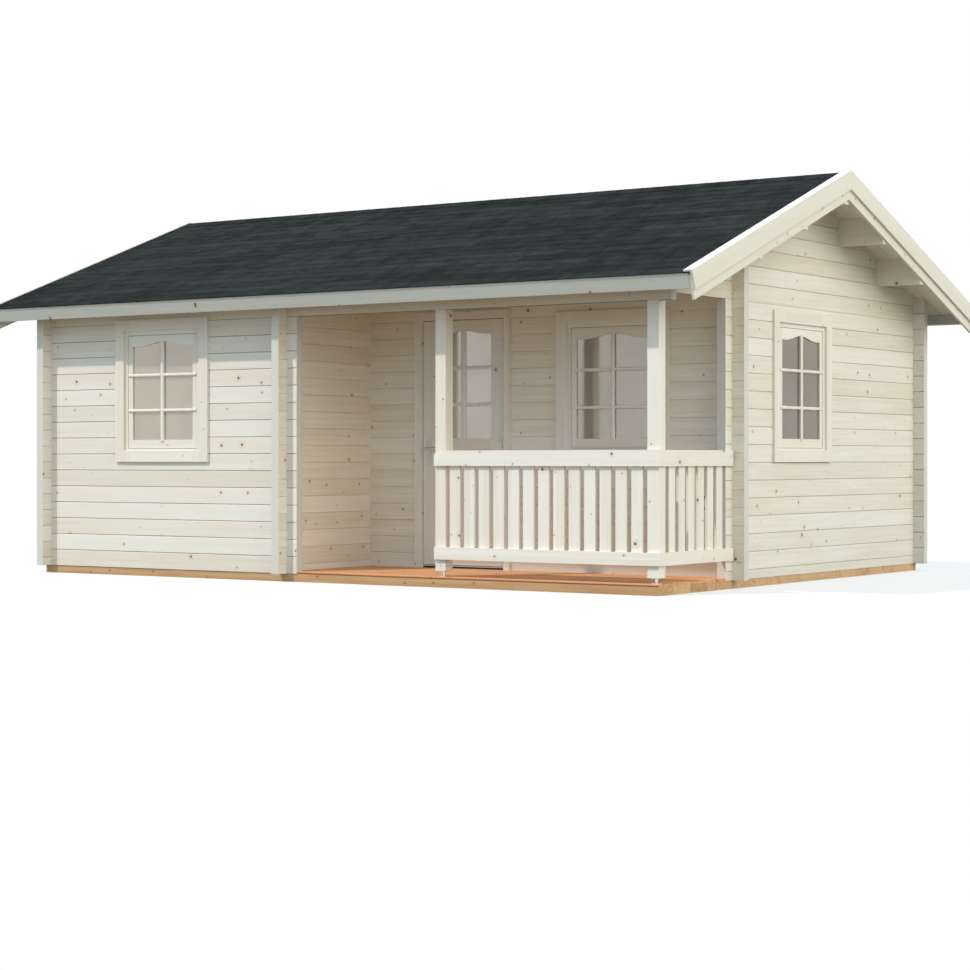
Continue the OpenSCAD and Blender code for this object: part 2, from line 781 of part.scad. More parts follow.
base_frame();
porch_deck();
room_floor();
main_floor();
front_wall();
porch_beam();
porch_side_wall();
door_wall_left();
door_wall_right();
door_wall_top();
left_wall();
right_wall();
right_gable();
rear_wall();
porch_posts();
post_feet();
front_railing();
side_railing();
purlins();
roof_boards_front();
roof_boards_rear();
shingles_front();
shingles_rear();
ridge_shingles();
fascia_boards();
barge_boards_front();
barge_boards_rear();
under_barges_front();
under_barges_rear();
verge_caps_front();
verge_caps_rear();
window_frames();
window_sashes();
window_glass();
window_trims();
door_frame();
door_trim();
hinge_pins();
door_leaf();
door_glass();
door_hinges();
door_handle();
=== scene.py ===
# %% [markdown]
# # A log cabin with a roofed corner porch
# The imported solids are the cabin's frame: log walls with notched corners, roof, porch, windows and a door.
# This lesson dresses that frame. It gives every surface its wood, felt, glass or steel, and makes what a solid
# model leaves plain: glazing bars, shingle courses, caps, fascias, roof boards, deck boards and a dark strip
# under the door.

# %% Load the frame
import math

import bpy
import numpy as np
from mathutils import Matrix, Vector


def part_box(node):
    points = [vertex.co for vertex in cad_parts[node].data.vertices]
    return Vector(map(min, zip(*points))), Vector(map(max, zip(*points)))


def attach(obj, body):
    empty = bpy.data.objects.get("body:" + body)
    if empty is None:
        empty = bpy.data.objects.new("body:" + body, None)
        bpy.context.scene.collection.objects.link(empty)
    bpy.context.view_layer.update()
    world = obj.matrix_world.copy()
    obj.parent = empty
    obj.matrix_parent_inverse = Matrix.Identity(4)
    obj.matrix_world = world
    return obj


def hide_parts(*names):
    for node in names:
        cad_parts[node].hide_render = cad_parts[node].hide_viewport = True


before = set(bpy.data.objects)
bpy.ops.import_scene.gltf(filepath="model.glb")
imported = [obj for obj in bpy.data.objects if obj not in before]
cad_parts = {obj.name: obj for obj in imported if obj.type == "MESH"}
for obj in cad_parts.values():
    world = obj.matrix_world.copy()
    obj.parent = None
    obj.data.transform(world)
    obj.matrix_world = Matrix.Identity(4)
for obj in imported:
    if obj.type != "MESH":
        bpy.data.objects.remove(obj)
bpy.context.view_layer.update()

# %% [markdown]
# ## Shared sizes
# Small pieces have to sit on what carries them, so their places come from the boxes of the CAD nodes where a
# box says enough. Only a few sizes of the cabin, such as the height of a log, are repeated here. A
# hair of air between layers keeps their faces apart.

# %% Sizes, in metres
PITCH = math.radians(20.5)
COS, SIN, TAN = math.cos(PITCH), math.sin(PITCH), math.tan(PITCH)
LOG_HIGH = 0.133
ROOF_BOARD = 0.019
AIR = 0.0002
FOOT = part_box("front_wall")[0].z
DOOR_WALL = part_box("door_wall_right")[0].y
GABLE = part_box("right_wall")[1].x
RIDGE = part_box("roof_boards_front")[1].z - ROOF_BOARD / COS
print("ridge underside at", round(RIDGE, 4), "walls' foot at", round(FOOT, 4))

# %% [markdown]
# ## Camera
# The photograph was taken from the right front, from about 0.95 m above the ground, with a long lens and with
# the upright edges parallel. A level camera with a small shift of its picture keeps them parallel; tilting the
# camera would make the corners lean. The place and lens come from a fit of the log joints and wall corners.

# %% The camera
FRAME_PX = 970
FOCAL_PX = 2246.7
HORIZON_PX = 458.8
CAMERA_PLACE = (10.749, -15.770, 0.954)
CAMERA_TURN = math.radians(34.266)
camera_data = bpy.data.cameras.new("photo_camera")
camera_data.sensor_width = 36.0
camera_data.lens = FOCAL_PX / FRAME_PX * camera_data.sensor_width
camera_data.shift_y = (HORIZON_PX - FRAME_PX / 2) / FRAME_PX
camera = bpy.data.objects.new("photo_camera", camera_data)
camera.location = CAMERA_PLACE
camera.rotation_euler = (math.pi / 2, 0, CAMERA_TURN)
bpy.context.scene.collection.objects.link(camera)
bpy.context.scene.camera = camera
print("lens", round(camera_data.lens, 1), "mm, shift", round(camera_data.shift_y, 4))

# %% [markdown]
# ## Shader arithmetic
# A wood finish is a long sum of patterns. Wiring it by hand would bury the idea, so one small class stands for
# a value in a material: adding or multiplying two of them adds the Math node. Every other node comes from
# `make`.

# %% The class for values in a material
class Wire:
    """A value on its way through a material: + - * < > and abs() on wires add Math nodes."""

    def __init__(self, tree, socket=None):
        self.tree, self.socket = tree, socket

    def make(self, kind, settings=None, values=None, out=0):
        """Adds a node: its type, its settings (set first), its sockets' values or wires. Gives one output."""
        node = self.tree.nodes.new(kind)
        for key, value in (settings or {}).items():
            setattr(node, key, value)
        for key, value in (values or {}).items():
            if isinstance(value, Wire):
                self.tree.links.new(value.socket, node.inputs[key])
            else:
                node.inputs[key].default_value = value
        return Wire(self.tree, node.outputs[out])

    def math(self, operation, *values):
        return self.make("ShaderNodeMath", {"operation": operation}, dict(enumerate(values)))

    def of(self, operation):
        """This value alone through a Math node: its floor, its sine, its square root."""
        return self.math(operation, self)

    def __add__(self, other):
        return self.math("ADD", self, other)

    def __sub__(self, other):
        return self.math("SUBTRACT", self, other)

    def __rsub__(self, other):
        return self.math("SUBTRACT", other, self)

    def __mul__(self, other):
        return self.math("MULTIPLY", self, other)

    __radd__, __rmul__ = __add__, __mul__

    def __abs__(self):
        return self.of("ABSOLUTE")

    def __lt__(self, other):
        return self.math("LESS_THAN", self, other)

    def __gt__(self, other):
        return self.math("GREATER_THAN", self, other)

    def step(self, low, high):
        """A smooth rise from 0 at low to 1 at high."""
        return self.make("ShaderNodeMapRange", {"interpolation_type": "SMOOTHSTEP"},
                         {"Value": self, "From Min": low, "From Max": high})

    def vector(self, x, y, z):
        return self.make("ShaderNodeCombineXYZ", None, {0: x, 1: y, 2: z})

    def noise(self, x, y, z, detail=3.0, rough=0.55):
        """Cloudy noise from 0 to 1 at a point that may be stretched along one axis."""
        return self.make("ShaderNodeTexNoise", None, {"Vector": self.vector(x, y, z), "Scale": 1.0,
                                                      "Detail": detail, "Roughness": rough})

    def tint(self, low, high, blend="MIX"):
        """A colour that goes from low to high as this value goes from 0 to 1."""
        settings = {"data_type": "RGBA", "blend_type": blend}
        return self.make("ShaderNodeMix", settings, {0: self, 6: low, 7: high}, 2)


# %% A material with one shader
def rgb(red, green, blue):
    return (red, green, blue, 1.0)


def finish(name, **constants):
    """A new material; constants go straight onto the shader's sockets. Gives it, its shader and x, y, z."""
    material = bpy.data.materials.new(name)
    material.use_nodes = True
    tree = material.node_tree
    shader = tree.nodes["Principled BSDF"]
    for socket, value in constants.items():
        shader.inputs[socket.replace("_", " ")].default_value = value
    place = Wire(tree).make("ShaderNodeTexCoord", out="Object")
    split = [place.make("ShaderNodeSeparateXYZ", None, {0: place}, axis) for axis in range(3)]
    return material, shader, split


def feed(shader, **wires):
    """Links wires to the shader's sockets; height goes through a Bump node of the given depth in metres."""
    for socket, wire in wires.items():
        if socket == "height":
            wire, depth = wire
            bump = wire.make("ShaderNodeBump", None, {"Height": wire, "Distance": depth, "Strength": 0.6})
            wire.tree.links.new(bump.socket, shader.inputs["Normal"])
        else:
            wire.tree.links.new(wire.socket, shader.inputs[socket.replace("_", " ")])


def wear(material, *nodes):
    """Puts a finish on CAD nodes, through their objects' material slots."""
    for node in nodes:
        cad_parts[node].data.materials.clear()
        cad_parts[node].data.materials.append(material)
    print(material.name, "on", ", ".join(nodes))


# %% [markdown]
# ## Pine
# The cabin is bare planed spruce and pine: nearly white, with fine streaks along the grain, growth rings that
# bow where the saw cut them at a slant, and small dark knots with a pale brown ring. An image would repeat;
# noise stretched along the grain doesn't, and each log or board gets its own stretch of it by a random shift.

# %% One pattern for all pine
PALE, WARM, RING = rgb(0.790, 0.758, 0.712), rgb(0.685, 0.630, 0.550), rgb(0.600, 0.520, 0.410)
KNOT, HALO = rgb(0.135, 0.070, 0.035), rgb(0.560, 0.440, 0.300)
REDDISH = rgb(1.0, 0.95, 0.905)
RING_GAP = 0.0075
KNOT_CELLS = 5.0


def pine(along, across, up, lane, palette=(PALE, WARM, RING, HALO, KNOT), knots=1.0):
    """Pine grain at a point of a board: `along` the grain, `across` and `up` the other ways, in metres.
    Streaks are noise stretched about 30 times along the grain. Rings are the sine of the distance from a pith
    line that wanders under the board. Knots are round spots at the feature points of a cell pattern; only some
    cells have one. The lane is a number that differs from board to board."""
    pale, warm, ring_tint, halo_tint, knot_tint = palette
    luck = along.make("ShaderNodeTexWhiteNoise", {"noise_dimensions": "1D"}, {"W": lane})
    shade = along.make("ShaderNodeTexWhiteNoise", {"noise_dimensions": "1D"}, {"W": lane + 0.37})
    run = along + luck * 41.0
    streak = run.noise(run * 1.4, across * 42.0, up * 42.0, 5.0, 0.62)
    drift = run.noise(run * 0.5, across * 2.5, up * 5.0, 2.0)
    beside = across + 0.03
    under = up + (run.noise(run * 0.45, luck * 9.0, 0.0, 1.0) - 0.5) * 0.16
    pith = (beside * beside + under * under).of("SQRT")
    rings = ((pith + streak * 0.006) * (2 * math.pi / RING_GAP)).of("SINE")
    cell = {"voronoi_dimensions": "2D"}
    spot = {"Vector": run.vector(run, across + up + luck * 17.0, 0.0), "Scale": KNOT_CELLS}
    away = run.make("ShaderNodeTexVoronoi", cell, spot, "Distance") * (1 / KNOT_CELLS)
    cell_luck = run.make("ShaderNodeTexVoronoi", cell, spot, "Color")
    red = run.make("ShaderNodeSeparateColor", None, {0: cell_luck}, 0)
    green = run.make("ShaderNodeSeparateColor", None, {0: cell_luck}, 1)
    size = (green * green * 0.0095 + 0.0033) * (red > 1.0 - 0.52 * knots)
    knotty = size > 0.001
    core = (1.0 - (away - size).step(-0.0022, 0.0012)) * knotty
    halo = (1.0 - (away - size * 3.2).step(-0.010, 0.004)) * knotty
    tone = (streak - 0.5) * 1.5 + drift * 0.6 + shade * 0.6
    colour = tone.step(0.1, 1.2).tint(pale, warm)
    colour = (luck.step(0.45, 0.95) * 0.5).tint(colour, REDDISH, "MULTIPLY")
    colour = ((rings * 0.5 + 0.5) * drift * 0.30).tint(colour, ring_tint)
    colour = (halo * 0.22).tint(colour, halo_tint)
    colour = (core * 0.92).tint(colour, knot_tint)
    relief = streak * 0.7 + rings * 0.12 - core * 0.5
    return colour, relief, streak


# %% [markdown]
# ## Log walls
# Each wall is a stack of planed logs, so the pattern has to change at each joint: the number of the log,
# counted up from the foot, picks its stretch of grain. The walls along Y start with a half log, so their count
# is shifted by half a log. A thin line of painted shade lies at the bottom of each groove, where two logs
# meet: dark on the outer walls, faint inside the porch. Inside the porch the wood is also painted lighter and
# warmer, as painted warm light bounced from the deck. The sawn ends at the notched corners show rings in place
# of streaks.

# %% Finish of the log walls
PAINTED_PORCH_LIGHT, PAINTED_GROOVE_SHADE = rgb(1.07, 1.035, 0.99), rgb(0.16, 0.12, 0.09)
END_PALE, END_DARK = rgb(0.650, 0.640, 0.615), rgb(0.555, 0.515, 0.450)


def log_finish(name, along_x):
    """Pine that changes at each log of a wall along X or Y. Walls further from the middle than `outside` stand
    outside the porch; the walls inside it get painted warm light and a fainter line of painted groove shade.
    The rings of a sawn end are the sine of the distance from a pith that moves with the log."""
    material, shader, (x, y, z) = finish(name, Roughness=0.6, Specular_IOR_Level=0.35)
    along, across = (x, y) if along_x else (y, x)
    first, outside, outer_groove_shade = (3.0, 1.5, 0.68) if along_x else (57.0, 2.0, 0.38)
    count = (z - (FOOT if along_x else FOOT + LOG_HIGH / 2)) * (1 / LOG_HIGH)
    log = count.of("FLOOR")
    lane = log + first + (across * 4.0).of("FLOOR") * 13.0
    inside = (count - log - 0.5) * LOG_HIGH
    colour, relief, streak = pine(along, across + 0.05, inside, lane)
    outer = abs(across) > outside
    # Painted warm light: the walls inside the porch are multiplied lighter and warmer, for light bounced from
    # the deck.
    colour = (1.0 - outer).tint(colour, PAINTED_PORCH_LIGHT, "MULTIPLY")
    # Painted shade: a thin dark line at the bottom of each groove, darker on the outer walls than in the porch.
    joint = abs(inside).step(LOG_HIGH / 2 - 0.0034, LOG_HIGH / 2 - 0.0006)
    colour = (joint * (outer * outer_groove_shade + 0.14)).tint(colour, PAINTED_GROOVE_SHADE)
    facing = x.make("ShaderNodeTexCoord", out="Normal")
    end = abs(facing.make("ShaderNodeSeparateXYZ", None, {0: facing}, 0 if along_x else 1)) > 0.9
    off = inside + across.noise(lane * 7.3, 0.0, 0.0, 0.0) * 0.06 - 0.01
    side = (across * 7.0).of("FRACT") * 0.14 - 0.06
    radius = (off * off + side * side).of("SQRT")
    year = (radius * 1100.0).of("SINE") * 0.5 + 0.5
    colour = end.tint(colour, (year * 0.35 + streak * 0.25).tint(END_PALE, END_DARK))
    feed(shader, Base_Color=colour, Roughness=streak * 0.25 + 0.5, height=(relief, 0.0007))
    return material


wear(log_finish("logs_along_front", True),
     "front_wall", "porch_beam", "rear_wall", "door_wall_left", "door_wall_right", "door_wall_top")
wear(log_finish("logs_along_gables", False), "left_wall", "right_wall", "right_gable", "porch_side_wall")

# %% [markdown]
# ## Planed boards
# Posts, rails, trim, frames and roof edges are the same pine, planed smoother and a little paler. What differs
# is which way the grain runs: along each board. On a railing or a window both ways meet in one node, so a mask
# made of the point's place turns the pattern there.

# %% Boards that run one way
SMOOTH = (rgb(0.800, 0.768, 0.720), rgb(0.730, 0.675, 0.595), rgb(0.65, 0.575, 0.465), HALO, KNOT)
# Painted shade: the fascia's boards are made darker and bluer than the other planed boards.
PAINTED_SHADE_FASCIA = (rgb(0.605, 0.62, 0.605), rgb(0.53, 0.53, 0.50), rgb(0.47, 0.445, 0.39), HALO, KNOT)
VERGE = (rgb(0.735, 0.705, 0.64), rgb(0.66, 0.615, 0.53), rgb(0.62, 0.545, 0.43), HALO, KNOT)
WHITE = (rgb(0.765, 0.75, 0.715), rgb(0.71, 0.68, 0.63), rgb(0.70, 0.655, 0.58), rgb(0.66, 0.60, 0.51), KNOT)


def board_finish(name, pick, palette=SMOOTH, knots=0.75, lanes=4.0):
    """Pine boards; pick(x, y, z) gives along, across and up for a point. Boards apart by 1/lanes differ."""
    material, shader, (x, y, z) = finish(name, Roughness=0.55, Specular_IOR_Level=0.35)
    along, across, up = pick(x, y, z)
    lane = ((across + 9.0) * lanes).of("FLOOR") * 7.0 + ((up + 9.0) * lanes).of("FLOOR")
    colour, relief, streak = pine(along, across, up, lane, palette, knots)
    feed(shader, Base_Color=colour, Roughness=streak * 0.25 + 0.45, height=(relief, 0.0005))
    return material


def lengthwise(x, y, z):
    return x, y, z


def upwards(x, y, z):
    return z, x, y


def down_slope(x, y, z):
    """Along the roof's slope, across it, and square to it."""
    return abs(y) * COS - z * SIN, x, abs(y) * SIN + z * COS


wear(board_finish("purlin_pine", lengthwise), "purlins")
wear(board_finish("upright_boards", upwards), "porch_posts", "door_frame", "door_trim")
wear(board_finish("verge_boards", down_slope, VERGE), "barge_boards_front", "barge_boards_rear",
     "under_barges_front", "under_barges_rear")

# %% Railings: level rails, upright balusters between them
BALUSTER, SLACK, TOP_BOARD = 0.018, 0.001, 0.0225
FRONT_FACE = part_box("porch_posts")[0].y
RAIL_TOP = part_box("front_railing")[1].z - TOP_BOARD


def swap(mask, first, second):
    """Picks the second of two numbers where the mask is 1."""
    return first + (second - first) * mask


def front_rail(x, y, z):
    upright = (y > FRONT_FACE - SLACK) * (y < FRONT_FACE + BALUSTER + SLACK) * (z < RAIL_TOP)
    return swap(upright, x, z), y, swap(upright, z, x)


def side_rail(x, y, z):
    upright = (x < GABLE + SLACK) * (x > GABLE - BALUSTER - SLACK) * (z < RAIL_TOP)
    return swap(upright, y, z), x, swap(upright, z, y)


wear(board_finish("front_rail_boards", front_rail, knots=0.9, lanes=8.0), "front_railing")
wear(board_finish("side_rail_boards", side_rail, knots=0.9, lanes=8.0), "side_railing")

# %% Windows: upright stiles, level rails
FRONT_WINDOW, PORCH_WINDOW, GABLE_WINDOW = -1.652, 1.949, 0.010
GLASS_HALF = 0.325
GABLE_FROM = 2.6


def window_way(x, y, z):
    """Upright grain beside the glass, level above and below it. The front and porch windows have their middle
    at an x, the gable's has it at a y."""
    on_gable = x > GABLE_FROM
    middle = swap(x > 0.0, x - FRONT_WINDOW, x - PORCH_WINDOW)
    sideways = swap(on_gable, middle, y - GABLE_WINDOW)
    upright = abs(sideways) > GLASS_HALF
    return swap(upright, sideways, z), swap(on_gable, y, x), swap(upright, z, sideways)


wear(board_finish("window_boards", window_way, knots=0.5, lanes=6.0), "window_frames", "window_sashes",
     "window_trims")

# %% Door leaf: level rails above and below the upright boards of its panel
LEAF_LOW, LEAF_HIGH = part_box("door_leaf")
LEAF_MIDDLE = (LEAF_LOW.x + LEAF_HIGH.x) / 2
STILES_FROM = 0.27
PANEL_MIDDLE, PANEL_HALF = 0.558, 0.358


def leaf_way(x, y, z):
    """Level grain between the stiles, except on the panel's boards, which stand upright like the stiles."""
    between_stiles = abs(x - LEAF_MIDDLE) < STILES_FROM
    level = between_stiles * (abs(z - LEAF_LOW.z - PANEL_MIDDLE) > PANEL_HALF)
    return swap(level, z, x), y, swap(level, x, z)


wear(board_finish("door_leaf_boards", leaf_way, knots=0.6, lanes=6.0), "door_leaf")

# %% [markdown]
# ## Base and floors
# The base beams are brown, pressure-treated softwood with a coarse grain, and the floor inside is plain boards.
# They are the same pattern again in other colours.

# %% Finishes of the base and the floors
TREATED = (rgb(0.66, 0.425, 0.235), rgb(0.39, 0.22, 0.10), rgb(0.23, 0.115, 0.045), rgb(0.20, 0.10, 0.045),
           rgb(0.07, 0.033, 0.015))
FLOOR = (rgb(0.66, 0.53, 0.36), rgb(0.56, 0.42, 0.26), rgb(0.48, 0.34, 0.19), HALO, KNOT)
wear(board_finish("treated_beams", lengthwise, TREATED, 1.4), "base_frame")
wear(board_finish("floor_boards", lengthwise, FLOOR, 0.8, 8.0), "room_floor", "main_floor")

# %% [markdown]
# ## Boards as geometry
# The deck, the roof boards, the glazing bars and the ridge caps are all one idea: a closed outline carried
# along a straight line. One function works on whole arrays, so that seventy boards cost no more code than one.

# %% A closed outline carried along straight lines
def carry(outline, start, end, side, up):
    """Solids with one outline: point = line's end + side * u + up * v, for all lines, both ends and all points.
    outline is (k, 2), or (n, k, 2) for n lines; start and end are (n, 3). Gives points and arrays of faces."""
    start, end = np.atleast_2d(start).astype(float), np.atleast_2d(end).astype(float)
    outline = np.broadcast_to(outline, (len(start),) + np.shape(outline)[-2:])
    side, up = np.array(side, float), np.array(up, float)
    ring = outline[..., :1] * side + outline[..., 1:] * up
    points = np.stack([start[:, None] + ring, end[:, None] + ring], 1)
    n, k = len(start), outline.shape[1]
    i = np.arange(k)
    j = (i + 1) % k
    walls = np.stack([i, j, j + k, i + k], 1)
    caps = np.stack([i[::-1], i + k])
    if np.dot(np.cross(side, up), (end - start)[0]) < 0:
        walls, caps = walls[:, ::-1], caps[:, ::-1]
    shift = (np.arange(n) * 2 * k)[:, None, None]
    return points.reshape(-1, 3), [(walls + shift).reshape(-1, 4), (caps + shift).reshape(-1, k)]


def board_outline(width, thick, bevel):
    """A board's section with bevelled edges, its middle at u = 0 and its underside at v = 0."""
    w, t, b = width / 2, thick, bevel
    return np.array([(-w + b, 0), (w - b, 0), (w, b), (w, t - b),
                     (w - b, t), (-w + b, t), (-w, t - b), (-w, b)])


def piece(name, parts, material, body="cabin", replaces=()):
    """One object from pairs of points and face arrays; it rides on a body and may stand for CAD nodes."""
    points, faces, count = [], [], 0
    for some_points, blocks in parts:
        points.append(some_points)
        for block in blocks:
            faces += (block + count).tolist()
        count += len(some_points)
    mesh = bpy.data.meshes.new(name)
    mesh.from_pydata(np.concatenate(points).tolist(), [], faces)
    mesh.update()
    mesh.materials.append(material)
    made = bpy.data.objects.new(name, mesh)
    bpy.context.scene.collection.objects.link(made)
    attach(made, body)
    if replaces:
        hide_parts(*replaces)
    print(name, len(mesh.vertices), "points,", len(faces), "faces")
    return made


# %% [markdown]
# ## Porch deck
# The deck is oiled boards laid along the front with narrow gaps. The board at the front edge and the one at the
# back end at the log ends that stand there, so the rows are set out from those notches. The front board is
# bevelled below, which draws the dark line between deck and base.

# %% Oiled wood of the deck
OILED = (rgb(0.72, 0.370, 0.178), rgb(0.58, 0.268, 0.112), rgb(0.46, 0.195, 0.076), rgb(0.36, 0.15, 0.06),
         rgb(0.10, 0.04, 0.02))
LOG_THICK, LOG_END, INNER_EDGES = 0.07, 0.1, 10
deck_low, deck_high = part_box("porch_deck")
inner_edges = np.linspace(FRONT_FACE + LOG_THICK, deck_high.y - LOG_END, INNER_EDGES)
rows = np.concatenate([[deck_low.y], inner_edges, [deck_high.y]])
deck_wood, deck_shader, (dx, dy, dz) = finish("oiled_deck", Roughness=0.5)
deck_lane = ((dy - float(rows[1])) * (1 / float(rows[2] - rows[1]))).of("FLOOR")
deck_colour, deck_relief, deck_streak = pine(dx, dy + 2.0, dz, deck_lane, OILED, 0.8)
feed(deck_shader, Base_Color=deck_colour, Roughness=deck_streak * 0.3 + 0.4, height=(deck_relief, 0.0006))
print("deck boards", round(float(rows[2] - rows[1]), 4), "m apart")

# %% Deck boards
DECK_GAP = 0.005
middles, widths = (rows[:-1] + rows[1:]) / 2, np.diff(rows) - DECK_GAP
left = np.full(len(middles), deck_low.x + 0.001)
right = np.full(len(middles), deck_high.x)
left[0] += LOG_END + 0.002
right[-1] -= LOG_THICK
outlines = np.stack([board_outline(wide, deck_high.z - deck_low.z, 0.003) for wide in widths])
# The front board's lower bevel grows from 3 mm to 12 mm level and 9 mm upright.
outlines[0, 0] += (0.009, 0)
outlines[0, 7] += (0, 0.006)
level = np.full(len(middles), deck_low.z)
deck_starts, deck_ends = np.stack([left, middles, level], 1), np.stack([right, middles, level], 1)
piece("deck_boards", [carry(outlines, deck_starts, deck_ends, (0, 1, 0), (0, 0, 1))], deck_wood,
      replaces=["porch_deck"])

# %% [markdown]
# ## Roof boards
# Under the porch and the eaves one looks up at the roof boards: narrow boards that run from the ridge to the
# eave with a small V where two of them meet. Each slope is one set of boards, cut square and set back behind
# the fascia.

# %% Boards of both slopes
SLOPES = ((-1, "front"), (1, "rear"))
BOARDS, V_GROOVE, RIDGE_GAP = 72, 0.004, 0.0005
boards_low, boards_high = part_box("roof_boards_rear")
slope_wood = board_finish("roof_boards_pine", down_slope, lanes=BOARDS / (boards_high.x - boards_low.x))
board_x = np.linspace(boards_low.x, boards_high.x, BOARDS + 1)
board_mid = (board_x[:-1] + board_x[1:]) / 2
half = (board_x[1] - board_x[0]) / 2 - AIR
groove = np.array([(-half + V_GROOVE, 0), (half - V_GROOVE, 0), (half, V_GROOVE), (half, ROOF_BOARD),
                   (-half, ROOF_BOARD), (-half, V_GROOVE)])
board_foot = boards_high.y - ROOF_BOARD * SIN - 0.001
for way, name in SLOPES:
    head, foot = [np.stack([board_mid, np.full(BOARDS, way * y), np.full(BOARDS, RIDGE - y * TAN)], 1)
                  for y in (RIDGE_GAP, board_foot)]
    piece("roof_boards_of_" + name, [carry(groove, head, foot, (1, 0, 0), (0, way * SIN, COS))], slope_wood,
          replaces=["roof_boards_" + name])

# %% [markdown]
# ## Fascia
# A fascia board closes the ends of the roof boards at each eave. It is nailed square to the slope, so it leans
# in at its foot and faces a little downwards. That is one reason why it looks greyer than the wall in the same
# sun; its colour is also painted darker and bluer, as painted shade.

# %% Fascia boards, square to the slope
FASCIA_WIDE, FASCIA_THICK = 0.110, 0.020
fascia_low, fascia_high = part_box("fascia_boards")
fascia_down = (fascia_high.y - ROOF_BOARD * SIN) / COS - FASCIA_THICK / 2
fascia_drop = ROOF_BOARD - AIR - FASCIA_WIDE
fascia_outline = board_outline(FASCIA_THICK, FASCIA_WIDE, 0.002) + (fascia_down, fascia_drop)
left_end, right_end = (fascia_low.x, 0, RIDGE), (fascia_high.x, 0, RIDGE)
fascias = [carry(fascia_outline, left_end, right_end, (0, way * COS, -SIN), (0, way * SIN, COS))
           for way, name in SLOPES]
piece("fascia_at_eaves", fascias, board_finish("shaded_eave_boards", lengthwise, PAINTED_SHADE_FASCIA),
      replaces=["fascia_boards"])

# %% [markdown]
# ## Shingles
# The roof is covered with strips of mineral-faced felt. Each strip shows three tabs, its lower edge lies on the
# strip below, and no two batches have quite the same grey, which gives the roof its streaks. Each tab is a thin
# wedge, thicker at its lower edge. A number stored on its faces says how pale it is.

# %% Felt
felt, felt_shader, (fx, fy, fz) = finish("mineral_felt", Roughness=0.9, Specular_IOR_Level=0.04)
tone = fx.make("ShaderNodeAttribute", {"attribute_name": "tone"}, None, "Fac")
grit = fx.noise(fx * 420.0, fy * 420.0, fz * 420.0, 2.0, 0.7)
cloud = fx.noise(fx * 5.5, fy * 9.0, fz * 18.0, 6.0, 0.75)
streaks = fx.noise(fx * 9.0, fy * 1.2, fz * 2.4, 3.0)
felt_tone = tone * 0.5 + (cloud - 0.5) * 1.7 + (streaks - 0.5) * 0.7 + (grit - 0.5) * 1.0 + 0.10
felt_hue = fx.noise(fx * 1.3 + 7.0, fy * 2.2, fz * 4.4).step(0.35, 0.65)
felt_hue = felt_hue.tint(rgb(0.0255, 0.0325, 0.0320), rgb(0.0265, 0.0315, 0.0340))
felt_colour = felt_tone.step(-0.15, 1.0).tint(rgb(0.0062, 0.0078, 0.0086), felt_hue)
feed(felt_shader, Base_Color=felt_colour, Roughness=grit * 0.2 + 0.75, height=(grit, 0.0012))


def store_tone(made, values):
    """One number on each face, from 0 for dark felt to 1 for pale."""
    store = made.data.attributes.new("tone", "FLOAT", "FACE")
    store.data.foreach_set("value", values.astype(np.float32))


# %% Tabs of all courses
COURSES, TAB, SLOT = 19, 0.333, 0.006
SHINGLE, SHEET = 0.008, 0.0034
SEAT = ROOF_BOARD + AIR
TOP, UNDERLAY = SEAT + SHINGLE, SEAT + SHEET
felt_low, felt_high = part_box("shingles_rear")
slope_long = (felt_high.y - TOP * SIN) / COS
random = np.random.default_rng(7)


def on_slope(x, s, h, way):
    """A point at x, a distance s down the slope from the ridge and a height h square to it."""
    return np.stack([x, way * (s * COS + h * SIN), RIDGE - s * SIN + h * COS], -1)


def tabs(way):
    """Wedge-shaped tabs: eight corners each, for every course and tab at once. A tab spans x0 to x1 along the
    eave and s0 to s1 down the slope; its top rises from thin at s0 to butt at s1. Gives points, faces and a
    tone for each face."""
    deep = slope_long / COURSES
    per_row = int(np.ceil((felt_high.x - felt_low.x) / TAB)) + 2
    strips = per_row // 3 + 2
    course, tab = [a.ravel() for a in np.meshgrid(np.arange(COURSES), np.arange(per_row), indexing="ij")]
    start = felt_low.x - TAB + random.uniform(0, 1, COURSES)[course] * TAB
    x0 = np.clip(start + (tab - 0.5) * TAB + SLOT / 2, felt_low.x, felt_high.x)
    x1 = np.clip(start + (tab + 0.5) * TAB - SLOT / 2, felt_low.x, felt_high.x)
    batch = random.uniform(0, 1, (COURSES, strips))[course, (tab + course) // 3 % strips]
    pale = np.clip(batch * 0.75 + random.uniform(0, 1, len(tab)) * 0.25, 0, 1)
    keep = x1 - x0 > 0.01
    course, x0, x1, pale = course[keep], x0[keep], x1[keep], pale[keep]
    s0 = np.maximum(course * deep - 0.002, 0.004)
    s1 = (course + 1) * deep - random.uniform(0, 0.003, len(course)) * (course < COURSES - 1)
    thin, butt, under = UNDERLAY + 0.0004, UNDERLAY + 0.0018, UNDERLAY - 0.0006
    edges = ((s0, under), (s1, under), (s1, butt), (s0, thin))
    points = np.stack([on_slope(x, s, np.full(len(x), h), way) for s, h in edges for x in (x0, x1)], 1)
    quads = np.array([(0, 1, 3, 2), (2, 3, 5, 4), (4, 5, 7, 6), (6, 7, 1, 0), (0, 2, 4, 6), (1, 7, 5, 3)])
    if way > 0:
        quads = quads[:, ::-1]
    faces = quads + (np.arange(len(points)) * 8)[:, None, None]
    return points.reshape(-1, 3), faces.reshape(-1, 4), np.repeat(pale, len(quads))


